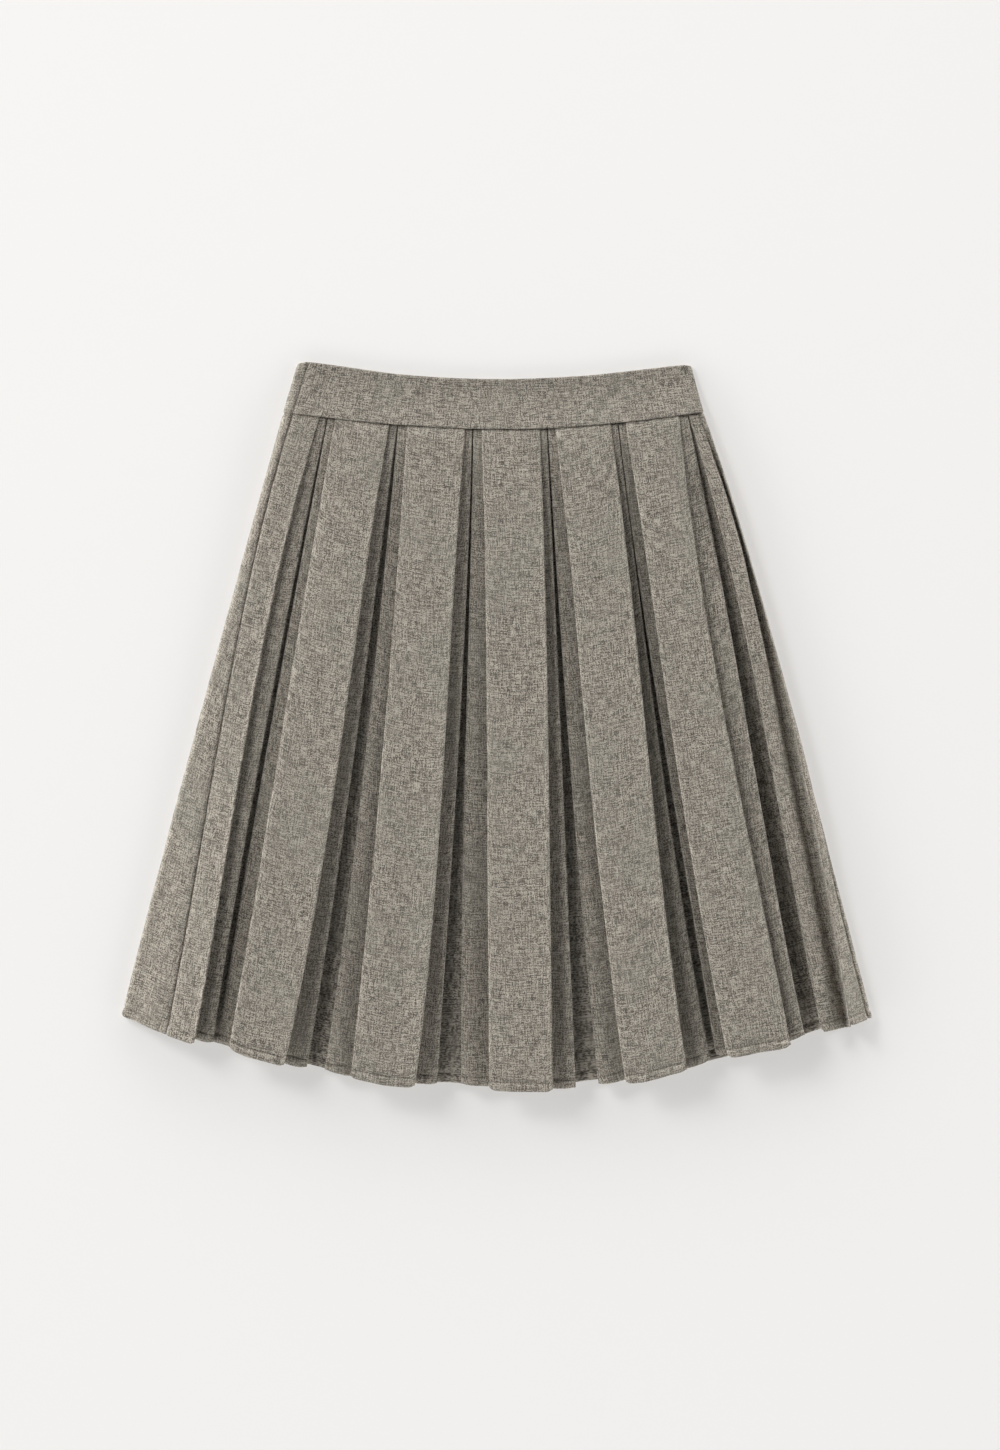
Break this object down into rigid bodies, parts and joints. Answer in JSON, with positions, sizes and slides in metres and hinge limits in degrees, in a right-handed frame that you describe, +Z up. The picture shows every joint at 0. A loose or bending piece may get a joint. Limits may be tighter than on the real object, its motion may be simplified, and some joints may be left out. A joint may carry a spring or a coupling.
{
  "type": "pleated skirt",
  "caption": "Knee-length skirt with stacked box pleats on a straight waistband, in a melange wool-like cloth, laid flat with its front up.",
  "frame": {"origin": "middle of the underside, on the surface that the skirt lies on", "axes": "+Z up out of the surface, through the cloth's front; +Y from the hem to the waistband; +X towards the wearer's left side, which is the right-hand side seen from above"},
  "size_m": [0.662, 0.642, 0.028],
  "materials": {
    "skirt_cloth": "matt melange wool weave, greige",
    "waistband_cloth": "matt melange wool weave, greige, doubled"
  },
  "bodies": {
    "root": {"front_panel": "skirt_cloth", "back_panel": "skirt_cloth", "waistband_front": "waistband_cloth", "waistband_back": "waistband_cloth"}
  },
  "joints": []
}
